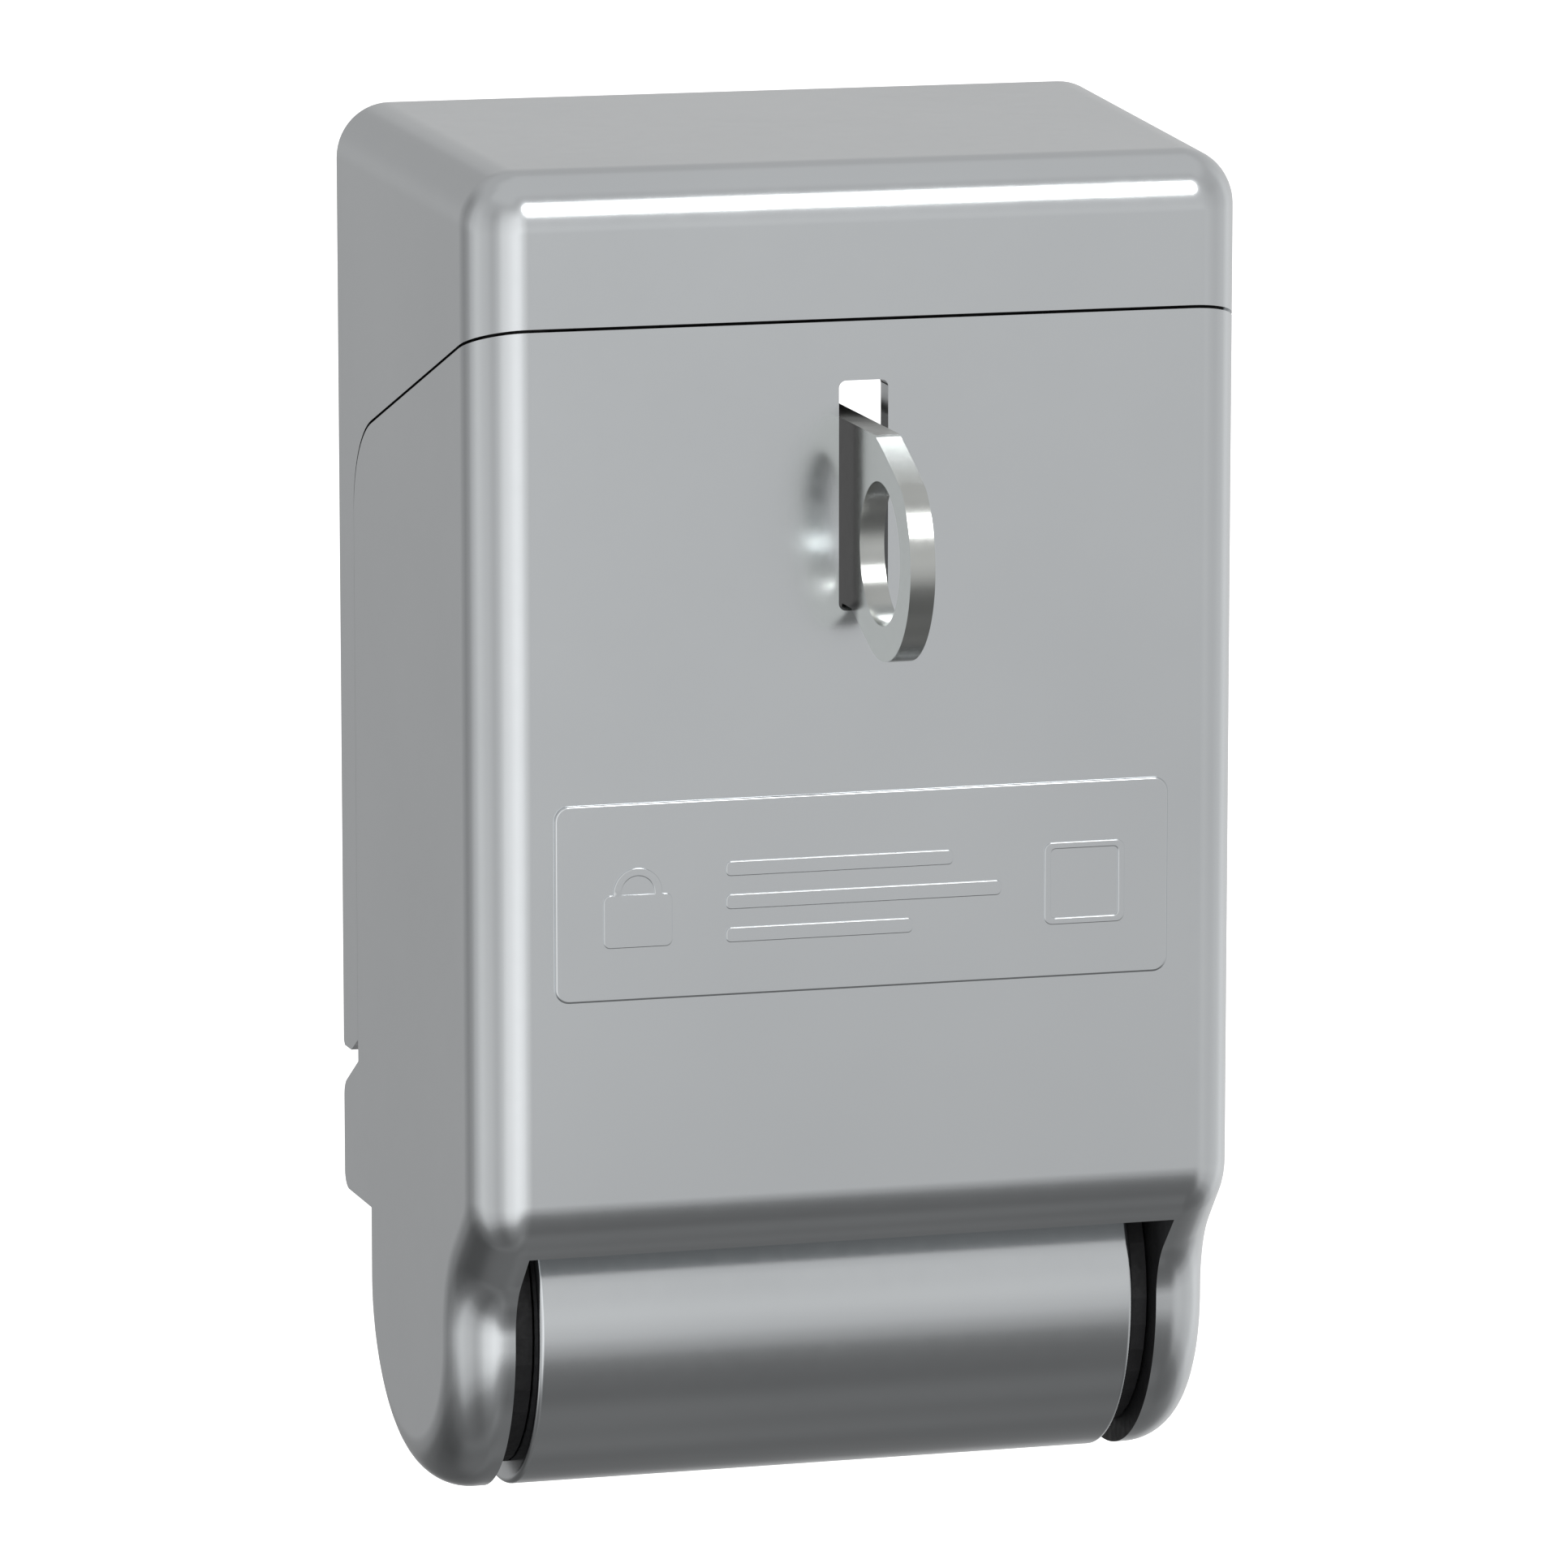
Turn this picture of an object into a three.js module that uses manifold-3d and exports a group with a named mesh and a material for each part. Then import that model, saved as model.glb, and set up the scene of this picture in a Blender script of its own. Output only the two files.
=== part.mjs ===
// Padlockable protective cover for a lock or control on an enclosure door.
// A die-cast base with a hood and a hinge barrel is fixed to the door. A lid hinged at the bottom
// swings forward and down, and a staple on the base stands out through a slot in the lid, so that
// a padlock shackle keeps the lid shut. Springs in the barrel close the lid.
// Millimetres, +Z up, front towards -Y. The mounting plane is Y = 0, and the hinge axis is Z = 0.
import * as THREE from "three";
import { mergeVertices } from "three/addons/utils/BufferGeometryUtils.js";
import Module from "manifold-3d";

// Outer form
const depth = 30.85; // mounting plane to front face
const frontHalfWidth = 23.6;
const frontTop = 70.95; // height of the top face where it meets the front plane
const draft = 0.034; // the sides and the top widen by this much per mm towards the rear
const edgeRadius = 3.3; // rounding of the side edges, along the front, the top and the ears
const cornerRadius = 3.45; // rounding of the front edge of the top
const wall = 1.6;
const slices = 5; // facets across one rounded edge

// Hinge
const hingeY = -14.55;
const barrelRadius = 11.15;
const barrelHalf = 18.68;
const barrelEdge = 0.35;
const barrelBore = 9;
const earInner = 20.13;
const pinRadius = 3;
const pinStart = 21.9; // the pin's closed end inside the left ear
const pinEnd = 22.5;
const pinChamfer = 0.4;
const runningGap = 0.05;
const pressGap = 0.02;
const earPinX = 21.35;
const earPinRadius = 0.75;
const plugStart = 22.6;
const plugEnd = 24.05;
const plugRadius = 4;
const bushStart = 14.7;
const bushRadius = 4.5;
const flangeStart = 18.75; // the bush's flange fills the gap between barrel and ear
const flangeEnd = 19.95;
const flangeRadius = 9.8;

// Seam between hood and lid
const seamFront = 61.92; // height at the front face
const seamSlope = THREE.MathUtils.degToRad(20);
const seamGap = 0.19;
const seamRadius = 6.5;
const rearLine = hingeY + barrelRadius; // where the lid's side walls meet the strips behind them
const stripGap = 0.1;

// Lid
const frontEnd = 9.6; // where the flat front ends and curls under
const curlRadius = 4.75;
const earConcave = 5;
const lipBack = 5.5; // how far the curled lip reaches behind the front face
const lipTop = 7.4;
const lipBottom = 5.95;
const heelBottom = 4.4;
const heelTop = 10.93;
const heelPeak = 13; // height where the heel's sloping top meets the strips' front
const heelRound = 1.3;
const heelInner = 22.9; // inner faces of the heels, beside the rear plate
const stripBottom = 13.4;
const stripFlat = 1.77; // depth of the flat part of the strips' lower ends
const stripChamfer = 0.25;
const notch = (stripBottom + heelPeak) / 2;
const slotHalf = 1.51;
const slotBottom = 44.57;
const slotTop = 58.3;
const padHalf = 18.95;
const padBottom = 21.78;
const padTop = 33.67;
const padHeight = 0.22;
const padCorner = 0.9;
const lugInner = 18.6; // lugs behind the side walls that meet the rubber buffers
const lugThickness = 1.9;
const lugHalf = 2;

// Base
const plate = 2.4; // rear plate
const plateHalf = 20; // half width of the plate below the strips
const plateBottom = -9;
const windowHalf = 13;
const windowBottom = 13.5;
const windowTop = 55;
const bossRadius = 3.4;
const bossFront = -7;
const fixings = [[-17.6, 18], [17.6, 18], [-17.6, 60], [17.6, 60]]; // X and Z of the inserts
const insertRadius = 2.4;
const insertLength = 5.45;
const insertBore = 1.65;
const grooveDepth = 0.9;
const grooveWidth = 1.3;
const grooveOut = 2.1; // reach of the groove's outer edge beyond the window
const bufferSpots = [-20.2, 20.2];
const bufferHeight = 40;
const bufferFront = -4.5;
const bufferRadius = 1.6;
const bufferStem = 0.75;

// Staple
const stapleThickness = 1.5;
const stapleTop = 55.77;
const shackleHole = 4.25;
const eyeY = -36.93;
const eyeZ = 48.9;
const noseY = -37.19;
const noseZ = 48.8;
const noseRadius = 6.2;
const noseSlope = 20.8; // degrees of the nose's lower edge
const noseSweep = 59.7; // radius about the hinge of the nose's upper edge
const shoulderY = -17; // where the upper edge starts to rise towards the foot
const footDepth = 9;
const neckDrop = 1.1; // how much further the plate reaches down behind the lid's wall
const footTop = 66;
const footBottom = 56.3;
const footEnd = 12.5;
const footFace = -plate - 0.05;
const rivetSpots = [[5.4, 61.2], [9.8, 61.2]];
const rivetRadius = 1.2;
const rivetHead = 1.9;
const rivetHeight = 0.9;

// Spring set
const wireRadius = 0.55;
const coilRadius = 5.6;
const coilPitch = 1.25;
const coilTurns = 7;
const coilStart = 3.9; // X of the first coil
const legStart = 1.6; // X of the ends of the straight legs, in the collar and in the end cap
const legEnd = 16.4;
const legHole = 0.75;
const capThickness = 4;
const capGap = 0.08;
const collarHalf = 3;
const collarRadius = 7.2;
const crossPinRadius = 1;

const wasm = await Module();
wasm.setup();

const halfWidth = (y) => frontHalfWidth + draft * (y + depth);
const topHeight = (y) => frontTop + draft * (y + depth);

// ---- Booleans -------------------------------------------------------------------------------

// Shares the vertices that meet, and drops the triangles that this closes up, such as those on
// the axis of a turned solid.
function weld(geometry) {
  const bare = geometry.clone();
  bare.deleteAttribute("normal");
  bare.deleteAttribute("uv");
  const merged = mergeVertices(bare, 1e-4);
  const old = merged.index.array;
  const kept = [];
  for (let i = 0; i < old.length; i += 3) {
    const [a, b, c] = old.slice(i, i + 3);
    if (a !== b && b !== c && a !== c) kept.push(a, b, c);
  }
  merged.setIndex(kept);
  return merged;
}

function toSolid(geometry) {
  const welded = weld(geometry);
  const vertProperties = new Float32Array(welded.attributes.position.array);
  const triVerts = new Uint32Array(welded.index.array);
  return new wasm.Manifold(new wasm.Mesh({ numProp: 3, vertProperties, triVerts }));
}

function toGeometry(solid) {
  const mesh = solid.getMesh();
  const geometry = new THREE.BufferGeometry();
  const positions = new Float32Array(mesh.vertProperties);
  geometry.setAttribute("position", new THREE.BufferAttribute(positions, 3));
  geometry.setIndex(new THREE.BufferAttribute(new Uint32Array(mesh.triVerts), 1));
  return geometry;
}

const join = (...geometries) => toGeometry(geometries.map(toSolid).reduce((a, b) => a.add(b)));
const cut = (body, ...tools) =>
  toGeometry(tools.map(toSolid).reduce((a, b) => a.subtract(b), toSolid(body)));
const common = (a, b) => toGeometry(toSolid(a).intersect(toSolid(b)));

// ---- Shapes ---------------------------------------------------------------------------------

function box(x0, x1, y0, y1, z0, z1) {
  const geometry = new THREE.BoxGeometry(x1 - x0, y1 - y0, z1 - z0);
  return geometry.translate((x0 + x1) / 2, (y0 + y1) / 2, (z0 + z1) / 2);
}

function arc(y, z, radius, from, to, steps) {
  const points = [];
  for (let i = 0; i <= steps; i++) {
    const angle = THREE.MathUtils.degToRad(from + ((to - from) * i) / steps);
    points.push(new THREE.Vector2(y + radius * Math.cos(angle), z + radius * Math.sin(angle)));
  }
  return points;
}

// Extrudes an outline drawn in the YZ plane along X.
function extrudeAcross(outline, x0, x1, holes = []) {
  const shape = new THREE.Shape(outline);
  shape.holes = holes.map((points) => new THREE.Path(points));
  const geometry = new THREE.ExtrudeGeometry(shape, { depth: x1 - x0, bevelEnabled: false });
  const axes = new THREE.Matrix4().makeBasis(
    new THREE.Vector3(0, 1, 0),
    new THREE.Vector3(0, 0, 1),
    new THREE.Vector3(1, 0, 0),
  );
  return geometry.applyMatrix4(axes).translate(x0, 0, 0);
}

// A rounded rectangle in the XZ plane, extruded along Y.
function panel(x0, x1, z0, z1, radius, y0, y1) {
  const shape = new THREE.Shape();
  shape.moveTo(x0 + radius, z0);
  shape.lineTo(x1 - radius, z0);
  shape.absarc(x1 - radius, z0 + radius, radius, -Math.PI / 2, 0);
  shape.lineTo(x1, z1 - radius);
  shape.absarc(x1 - radius, z1 - radius, radius, 0, Math.PI / 2);
  shape.lineTo(x0 + radius, z1);
  shape.absarc(x0 + radius, z1 - radius, radius, Math.PI / 2, Math.PI);
  shape.lineTo(x0, z0 + radius);
  shape.absarc(x0 + radius, z0 + radius, radius, Math.PI, 1.5 * Math.PI);
  const options = { depth: y1 - y0, bevelEnabled: false, curveSegments: 6 };
  return new THREE.ExtrudeGeometry(shape, options).rotateX(Math.PI / 2).translate(0, y1, 0);
}

// A turned solid about an axis parallel to X, from [position along X, radius] pairs.
function turned(profile, segments, y = hingeY, z = 0) {
  const points = profile.map(([x, radius]) => new THREE.Vector2(radius, x));
  return weld(new THREE.LatheGeometry(points, segments).rotateZ(-Math.PI / 2).translate(0, y, z));
}

const disc = (x0, x1, radius, segments = 32, y = hingeY, z = 0) =>
  turned([[x0, 0], [x0, radius], [x1, radius], [x1, 0]], segments, y, z);

function ring(x0, x1, inner, outer, segments = 32) {
  return turned([[x0, inner], [x0, outer], [x1, outer], [x1, inner], [x0, inner]], segments);
}

// A round bar or hole along Y.
function barY(x, z, radius, y0, y1, segments = 24) {
  return new THREE.CylinderGeometry(radius, radius, y1 - y0, segments).translate(x, (y0 + y1) / 2, z);
}

// Moves each edge of a closed outline inwards by its own distance, and meets them again.
function insetOutline(points, distances) {
  const count = points.length;
  const edges = points.map((a, i) => {
    const b = points[(i + 1) % count];
    const normal = new THREE.Vector2(a.y - b.y, b.x - a.x).normalize();
    return { normal, offset: normal.dot(a) + distances[i] };
  });
  return points.map((point, i) => {
    const before = edges[(i + count - 1) % count];
    const after = edges[i];
    const det = before.normal.cross(after.normal);
    if (Math.abs(det) < 0.02) {
      const normal = before.normal.clone().add(after.normal).normalize();
      const move = (before.offset + after.offset) / 2 - normal.dot(point);
      return point.clone().addScaledVector(normal, move);
    }
    const y = (before.offset * after.normal.y - after.offset * before.normal.y) / det;
    const z = (after.offset * before.normal.x - before.offset * after.normal.x) / det;
    return new THREE.Vector2(y, z);
  });
}

// A body as wide as halfWidth less inset, with the YZ outline as its section. The edges marked
// soft are rounded over towards both sides; the others stay sharp.
function wideBody(outline, soft, radius, inset = 0) {
  const rings = [];
  for (let k = 0; k <= slices; k++) {
    const angle = (k / slices) * (Math.PI / 2);
    const distances = soft.map((isSoft) => (isSoft ? radius * (1 - Math.sin(angle)) : 0));
    const points = insetOutline(outline, distances);
    const inwards = inset + radius * (1 - Math.cos(angle));
    rings.push(points.map((p) => new THREE.Vector3(-(halfWidth(p.x) - inwards), p.x, p.y)));
  }
  const mirrored = rings.map((points) => points.map((p) => new THREE.Vector3(-p.x, p.y, p.z)));
  const all = rings.concat(mirrored.reverse());
  const count = outline.length;
  const positions = all.flat().flatMap((p) => [p.x, p.y, p.z]);
  const index = [];
  for (let k = 0; k < all.length - 1; k++) {
    for (let i = 0; i < count; i++) {
      const j = (i + 1) % count;
      const [a, b, c, d] = [k * count + i, k * count + j, (k + 1) * count + j, (k + 1) * count + i];
      index.push(a, b, c, a, c, d);
    }
  }
  const side = all[0].map((p) => new THREE.Vector2(p.y, p.z));
  const last = (all.length - 1) * count;
  for (const [a, b, c] of THREE.ShapeUtils.triangulateShape(side, [])) {
    index.push(a, c, b, last + a, last + b, last + c);
  }
  const geometry = new THREE.BufferGeometry();
  geometry.setAttribute("position", new THREE.Float32BufferAttribute(positions, 3));
  geometry.setIndex(index);
  return geometry;
}

// ---- Outlines of the whole cover, in the YZ plane ----------------------------------------------

function topFrontCorner(inset) {
  const y = -depth + cornerRadius;
  const z = topHeight(y) - cornerRadius;
  return arc(y, z, cornerRadius - inset, 90 + THREE.MathUtils.radToDeg(draft), 180, 6);
}

// Everything outside: the hood, the lid with its ears and heels, and the strips behind the lid.
function envelope() {
  const curl = arc(-depth + curlRadius, frontEnd, curlRadius, 180, 225, 4);
  const along = curl.at(-1).x + curl.at(-1).y;
  const concaveY = hingeY - barrelRadius - earConcave;
  const concaveZ = along - earConcave * Math.SQRT2 - concaveY;
  const softPoints = [
    new THREE.Vector2(0, topHeight(0)),
    ...topFrontCorner(0),
    ...curl,
    ...arc(concaveY, concaveZ, earConcave, 45, 0, 5),
    ...arc(hingeY, 0, barrelRadius, 183, 360, 24),
  ];
  const sharpPoints = [
    new THREE.Vector2(rearLine, heelBottom),
    ...arc(-1, heelBottom + 1, 1, 270, 360, 3),
    ...arc(-heelRound, heelTop - heelRound / 2, heelRound, 0, 60, 3),
    new THREE.Vector2(rearLine, heelPeak),
    new THREE.Vector2(rearLine, stripBottom + 1),
    new THREE.Vector2(-stripFlat, stripBottom),
    new THREE.Vector2(-stripChamfer, stripBottom),
    new THREE.Vector2(0, stripBottom + stripChamfer),
  ];
  const outline = [...softPoints, ...sharpPoints];
  return wideBody(outline, outline.map((_, i) => i < softPoints.length), edgeRadius);
}

// The space inside the outer walls, from a floor height up, ending short of the mounting plane.
function cavity(floor, rear, inset) {
  const softPoints = [new THREE.Vector2(rear, topHeight(rear) - inset), ...topFrontCorner(inset)];
  const sharpPoints = [new THREE.Vector2(-depth + inset, floor), new THREE.Vector2(rear, floor)];
  const outline = [...softPoints, ...sharpPoints];
  return wideBody(outline, outline.map((_, i) => i < softPoints.length), edgeRadius - inset, inset);
}

// The seam from far in front of the cover to its vertical stretch, moved by the given amounts.
function seamLine(rise, forward) {
  const angle = THREE.MathUtils.radToDeg(seamSlope);
  const endY = rearLine - forward;
  const startY = endY - seamRadius * (1 - Math.sin(seamSlope));
  const startZ = seamFront + rise - Math.tan(seamSlope) * (startY + depth);
  const centreZ = startZ - seamRadius * Math.cos(seamSlope);
  const front = new THREE.Vector2(-depth - 5, seamFront + rise + Math.tan(seamSlope) * 5);
  return [front, ...arc(endY - seamRadius, centreZ, seamRadius, 90 - angle, 0, 7)];
}

// ---- Lid ----------------------------------------------------------------------------------------

function lidRegion() {
  const outline = [
    new THREE.Vector2(-depth - 5, -20),
    new THREE.Vector2(5, -20),
    new THREE.Vector2(5, notch),
    new THREE.Vector2(rearLine - stripGap / 2, notch),
    ...seamLine(-seamGap / 2, stripGap / 2).reverse(),
  ];
  return extrudeAcross(outline, -30, 30);
}

// Room for the barrel between the ears, which leaves the lid's curled lower lip.
function barrelRoom() {
  const front = -depth - 3;
  const back = -depth + lipBack;
  const outline = [
    new THREE.Vector2(front, lipBottom),
    new THREE.Vector2(front, -20),
    new THREE.Vector2(5, -20),
    new THREE.Vector2(5, lipTop + 0.1),
    new THREE.Vector2(back, lipTop + 0.1),
    new THREE.Vector2(back, lipBottom),
  ];
  return extrudeAcross(outline, -earInner, earInner);
}

function bufferLug(side) {
  const rear = bufferFront - 0.2;
  const outer = halfWidth(rear) - wall + 0.3;
  const [x0, x1] = side < 0 ? [-outer, -lugInner] : [lugInner, outer];
  return box(x0, x1, rear - lugThickness, rear, bufferHeight - lugHalf, bufferHeight + lugHalf);
}

// A hole along Y through each ear and the pin, for the spring pins.
const earPinHoles = () => [-1, 1].map((side) => barY(side * earPinX, 0, earPinRadius + 0.05, -20, 0, 12));

function lid() {
  const label = panel(-padHalf, padHalf, padBottom, padTop, padCorner, -depth - padHeight, -depth + 0.5);
  const shell = common(join(envelope(), label), lidRegion());
  const slot = panel(-slotHalf, slotHalf, slotBottom, slotTop, 0.45, -depth - 2, -depth + wall + 2);
  const plateRoom = box(-heelInner, heelInner, rearLine - 0.6, 3, heelBottom - 1, lipTop + 1);
  const hollow = cut(shell, cavity(lipTop, 3, wall), barrelRoom(), plateRoom, slot);
  const lugs = join(hollow, bufferLug(-1), bufferLug(1));
  const pinHole = disc(-pinStart - 0.1, plugStart + 1, pinRadius + pressGap);
  const plugSeat = disc(plugStart, plugEnd + 1, plugRadius);
  return cut(lugs, pinHole, plugSeat, ...earPinHoles());
}

// ---- Base ---------------------------------------------------------------------------------------

function baseRegion() {
  const outline = [
    new THREE.Vector2(5, frontTop + 10),
    new THREE.Vector2(-depth - 5, frontTop + 10),
    ...seamLine(seamGap / 2, -stripGap / 2),
    new THREE.Vector2(rearLine + stripGap / 2, notch),
    new THREE.Vector2(5, notch),
  ];
  return extrudeAcross(outline, -30, 30);
}

function barrel() {
  const edge = arc(0, 0, barrelEdge, 90, 0, 3);
  const end = barrelHalf - barrelEdge;
  const round = edge.map((p) => [end + p.x, barrelRadius - barrelEdge + p.y]);
  const mirrored = round.map(([x, r]) => [-x, r]).reverse();
  return turned([[-barrelHalf, 0], ...mirrored, ...round, [barrelHalf, 0]], 60);
}

// The ring round the window in the rear face: the groove with no gap, or the gasket that fits it.
function gasketRing(gap, front, rear) {
  const outer = grooveOut - gap;
  const inner = grooveOut - grooveWidth + gap;
  const block = (reach, radius, y0, y1) => {
    const half = windowHalf + reach;
    return panel(-half, half, windowBottom - reach, windowTop + reach, radius, y0, y1);
  };
  return cut(block(outer, 5, front, rear), block(inner, 4, front - 1, rear + 1));
}

function baseHousing() {
  const shell = cut(common(envelope(), baseRegion()), cavity(0, -plate, wall));
  const lowerPlate = box(-plateHalf, plateHalf, -plate, 0, plateBottom, stripBottom + 1.2);
  const web = box(-barrelHalf + 0.4, barrelHalf - 0.4, -8, -plate + 0.2, plateBottom, -plateBottom);
  const bosses = fixings.map(([x, z]) => barY(x, z, bossRadius, bossFront, -plate + 0.5));
  const solid = join(shell, lowerPlate, web, barrel(), ...bosses);
  const lock = panel(-windowHalf, windowHalf, windowBottom, windowTop, 4, -plate - 2, 2);
  return cut(
    solid,
    disc(-barrelHalf - 1, barrelHalf + 1, barrelBore, 36),
    lock,
    gasketRing(0, -grooveDepth, 1),
    ...fixings.map(([x, z]) => barY(x, z, insertRadius + 0.03, -insertLength - 0.15, 1)),
    ...rivetSpots.map(([x, z]) => barY(x, z, rivetRadius + 0.05, -plate - 1, 1, 16)),
    ...bufferSpots.map((x) => barY(x, bufferHeight, bufferStem + 0.05, -plate - 1, -1.2, 16)),
  );
}

function threadedInsert([x, z]) {
  const body = barY(x, z, insertRadius, -insertLength - 0.05, -0.05);
  return cut(body, barY(x, z, insertBore, -insertLength + 0.45, 1));
}

const doorGasket = () => gasketRing(0.05, 0.05 - grooveDepth, -0.02);

// A bar behind the seam, held by the hood.
function hoodSeal() {
  const inside = -depth + wall;
  return box(-18.5, 18.5, inside + 0.02, inside + 1.3, seamFront - 1.2, seamFront + 2.4);
}

function lidBuffer(x) {
  const head = barY(x, bufferHeight, bufferRadius, bufferFront, -plate - 0.02, 20);
  return join(head, barY(x, bufferHeight, bufferStem, -plate - 0.5, -1.3, 16));
}

// ---- Staple -------------------------------------------------------------------------------------

// The nose's upper edge runs round the hinge axis, just inside the path of the slot's upper end.
function stapleOutline() {
  const { radToDeg } = THREE.MathUtils;
  const toNose = new THREE.Vector2(noseY - hingeY, noseZ);
  const reach = toNose.length();
  const direction = radToDeg(toNose.angle());
  const meeting = Math.acos((noseSweep ** 2 - reach ** 2 - noseRadius ** 2) / (2 * reach * noseRadius));
  const sweepStart = 180 - radToDeg(Math.asin(stapleTop / noseSweep));
  const sweepEnd = direction + radToDeg(Math.asin((noseRadius * Math.sin(meeting)) / noseSweep));
  const underside = slotBottom + 0.13;
  return [
    new THREE.Vector2(footFace, footTop),
    new THREE.Vector2(-footDepth, footTop),
    new THREE.Vector2(-footDepth, stapleTop + 3),
    new THREE.Vector2(shoulderY, stapleTop),
    ...arc(hingeY, 0, noseSweep, sweepStart, sweepEnd, 3),
    ...arc(noseY, noseZ, noseRadius, direction + radToDeg(meeting), 270 + noseSlope, 14).slice(1),
    new THREE.Vector2(-depth, underside),
    new THREE.Vector2(-depth + wall + 0.4, underside),
    new THREE.Vector2(-depth + wall + 0.4, underside - neckDrop),
    new THREE.Vector2(-depth + footDepth, underside - neckDrop),
    new THREE.Vector2(-footDepth + 1, 52),
    new THREE.Vector2(footFace, footBottom),
  ];
}

function padlockStaple() {
  const half = stapleThickness / 2;
  const hole = arc(eyeY, eyeZ, shackleHole, 0, 360, 40).slice(1);
  const plateBody = extrudeAcross(stapleOutline().reverse(), -half, half, [hole]);
  const foot = panel(-half, footEnd, footBottom, footTop, 1, footFace - stapleThickness, footFace);
  const rivetHoles = rivetSpots.map(([x, z]) => barY(x, z, rivetRadius + 0.05, -6, 0, 16));
  return cut(join(plateBody, foot), ...rivetHoles);
}

function stapleRivet([x, z]) {
  const front = footFace - stapleThickness - 0.02;
  const shank = barY(x, z, rivetRadius, front - 0.5, -0.05, 16);
  return join(shank, barY(x, z, rivetHead, front - rivetHeight, front, 20));
}

// ---- Hinge set ----------------------------------------------------------------------------------

function hingePin() {
  const ends = [
    [-pinStart, 0],
    [-pinStart, pinRadius - pinChamfer],
    [-pinStart + pinChamfer, pinRadius],
    [pinEnd - pinChamfer, pinRadius],
    [pinEnd, pinRadius - pinChamfer],
    [pinEnd, 0],
  ];
  return cut(turned(ends, 32), ...earPinHoles(), crossPinHole());
}

function earSpringPin(side) {
  const x = side * earPinX;
  return cut(barY(x, 0, earPinRadius, -19.2, -5, 16), barY(x, 0, 0.4, -20, -4, 10));
}

const pinEndPlug = () => disc(plugStart + 0.05, plugEnd, plugRadius - 0.05, 40);

function hingeBush(side) {
  const inner = pinRadius + runningGap;
  const profile = [
    [bushStart, inner],
    [bushStart, bushRadius],
    [flangeStart, bushRadius],
    [flangeStart, flangeRadius],
    [flangeEnd, flangeRadius],
    [flangeEnd, inner],
    [bushStart, inner],
  ];
  return turned(side > 0 ? profile : profile.map(([x, radius]) => [-x, radius]).reverse(), 36);
}

// A short hole along X for a spring's leg, from x0 to x1 on one side.
function springLegHole(side, x0, x1) {
  const [from, to] = side < 0 ? [-x1, -x0] : [x0, x1];
  return disc(from, to, legHole, 12, hingeY, coilRadius);
}

function barrelEndCap(side) {
  const outer = barrelHalf - capGap;
  const inner = outer - capThickness;
  const [x0, x1] = side < 0 ? [-outer, -inner] : [inner, outer];
  const cap = ring(x0, x1, bushRadius + 0.05, barrelBore - 0.05, 36);
  return cut(cap, springLegHole(side, inner - 1, legEnd + 0.4));
}

const crossPinHole = () => barY(0, 0, crossPinRadius + 0.05, -24, -4, 16);

function springCollar() {
  const collar = ring(-collarHalf, collarHalf, pinRadius + pressGap, collarRadius, 40);
  const legHoles = [-1, 1].map((side) => springLegHole(side, legStart - 0.6, collarHalf + 1));
  return cut(collar, crossPinHole(), ...legHoles);
}

const collarCrossPin = () => barY(0, 0, crossPinRadius, hingeY - 7, hingeY + 7, 16);

// A closed coil round the pin, with straight ends along X that sit in the collar and the end cap.
class CoilCurve extends THREE.Curve {
  constructor(side) {
    super();
    this.side = side;
  }

  getPoint(t, target = new THREE.Vector3()) {
    const { clamp, lerp } = THREE.MathUtils;
    const coilEnd = coilStart + coilPitch * coilTurns;
    const legShare = 0.04; // part of the curve given to each leg
    const turn = clamp((t - legShare) / (1 - 2 * legShare), 0, 1);
    let x = lerp(coilStart, coilEnd, turn);
    if (t < legShare) x = lerp(legStart, coilStart, t / legShare);
    if (t > 1 - legShare) x = lerp(legEnd, coilEnd, (1 - t) / legShare);
    const angle = this.side * turn * coilTurns * 2 * Math.PI;
    const y = hingeY + coilRadius * Math.sin(angle);
    return target.set(this.side * x, y, coilRadius * Math.cos(angle));
  }
}

function torsionSpring(side) {
  const section = new THREE.Shape().absarc(0, 0, wireRadius, 0, 2 * Math.PI);
  const steps = coilTurns * 12 + 6;
  const extrudePath = new CoilCurve(side);
  return new THREE.ExtrudeGeometry(section, { extrudePath, steps, curveSegments: 3, bevelEnabled: false });
}

// ---- Materials and assembly ---------------------------------------------------------------------

const finish = (color, roughness, metalness) =>
  new THREE.MeshStandardMaterial({ color, roughness, metalness });
const castMetal = () => finish(0xb4b6b9, 0.38, 0.9);
const steel = () => finish(0xc6c8c9, 0.22, 1);
const darkSteel = () => finish(0x8d9093, 0.35, 1);
const brass = () => finish(0xb08a52, 0.4, 1);
const nylon = () => finish(0x2b2c2e, 0.6, 0);
const rubber = () => finish(0x17181a, 0.85, 0);

const cover = new THREE.Group();

function add(name, geometry, material, parent = cover) {
  const mesh = new THREE.Mesh(geometry, material);
  mesh.name = name;
  parent.add(mesh);
}

const base = new THREE.Group();
const swing = new THREE.Group();
cover.add(base, swing);

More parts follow.
